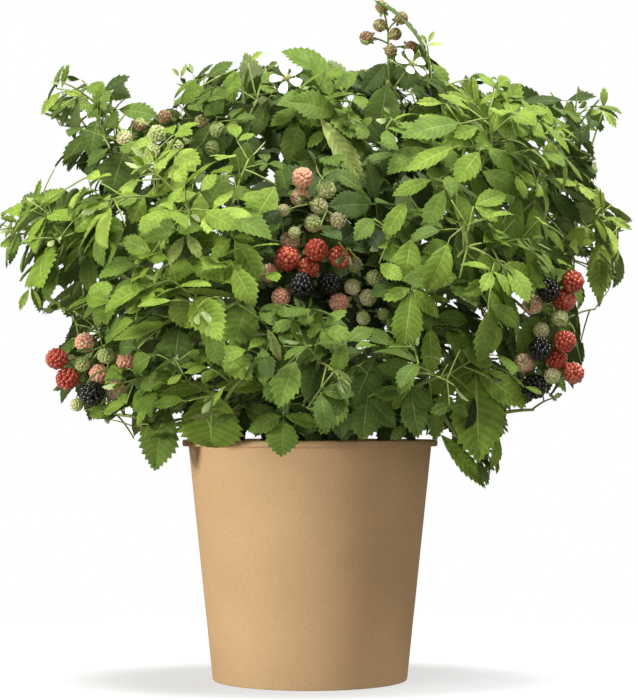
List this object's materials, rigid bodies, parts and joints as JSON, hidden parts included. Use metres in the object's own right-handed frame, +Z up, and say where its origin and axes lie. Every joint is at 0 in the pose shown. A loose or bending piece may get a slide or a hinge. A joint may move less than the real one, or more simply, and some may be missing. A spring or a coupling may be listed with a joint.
{
  "type": "potted patio bramble",
  "caption": "Bushy thornless bramble with arching canes, three-part leaves and ripening berries, growing in a round tapered kraft tub with a rolled rim.",
  "frame": {"origin": "middle of the tub's flat underside, which stands on the ground", "axes": "+Z up through the middle of the tub, +X to the right as seen from the front, the front faces -Y"},
  "size_m": [0.555, 0.4593, 0.6],
  "materials": {
    "kraft_board": "matte",
    "compost": "rough",
    "bark": "rough",
    "green_cane": "satin",
    "foliage": "satin"
  },
  "bodies": {
    "root": {"pot_wall": "kraft_board", "pot_base": "kraft_board", "soil": "compost", "stem": "bark", "cane_top_left": "green_cane", "cane_top_middle": "green_cane", "cane_top_right": "green_cane", "cane_front_left_high": "green_cane", "cane_front_right_high": "green_cane", "cane_heart": "green_cane", "cane_left": "green_cane", "cane_right_far": "green_cane", "cane_rim_left": "green_cane", "cane_rim_right": "green_cane", "cane_back_top_left": "green_cane", "cane_back_top_right": "green_cane", "cane_back_left_low": "green_cane", "cane_back_right_low": "green_cane", "cane_back_middle_low": "green_cane", "cane_top_back": "green_cane", "cane_upper_left": "green_cane", "cane_left_lower": "green_cane", "cane_front_left_low": "green_cane", "cane_front_right_mid": "green_cane", "cane_right_edge": "green_cane", "cane_right_lower": "green_cane", "cane_lower_right": "green_cane", "cane_lower_left": "green_cane", "cane_front_middle_low": "green_cane", "cane_back_left_high": "green_cane", "cane_back_right_high": "green_cane", "cane_back_middle_high": "green_cane", "leaves_top_left": "foliage", "leaves_top_middle": "foliage", "leaves_top_right": "foliage", "leaves_front_left_high": "foliage", "leaves_front_right_high": "foliage", "leaves_heart": "foliage", "leaves_left": "foliage", "leaves_right_far": "foliage", "leaves_rim_left": "foliage", "leaves_rim_right": "foliage", "leaves_back_top_left": "foliage", "leaves_back_top_right": "foliage", "leaves_back_left_low": "foliage", "leaves_back_right_low": "foliage", "leaves_back_middle_low": "foliage", "leaves_top_back": "foliage", "leaves_upper_left": "foliage", "leaves_left_lower": "foliage", "leaves_front_left_low": "foliage", "leaves_front_right_mid": "foliage", "leaves_right_edge": "foliage", "leaves_right_lower": "foliage", "leaves_lower_right": "foliage", "leaves_lower_left": "foliage", "leaves_front_middle_low": "foliage", "leaves_back_left_high": "foliage", "leaves_back_right_high": "foliage", "leaves_back_middle_high": "foliage"}
  },
  "joints": []
}
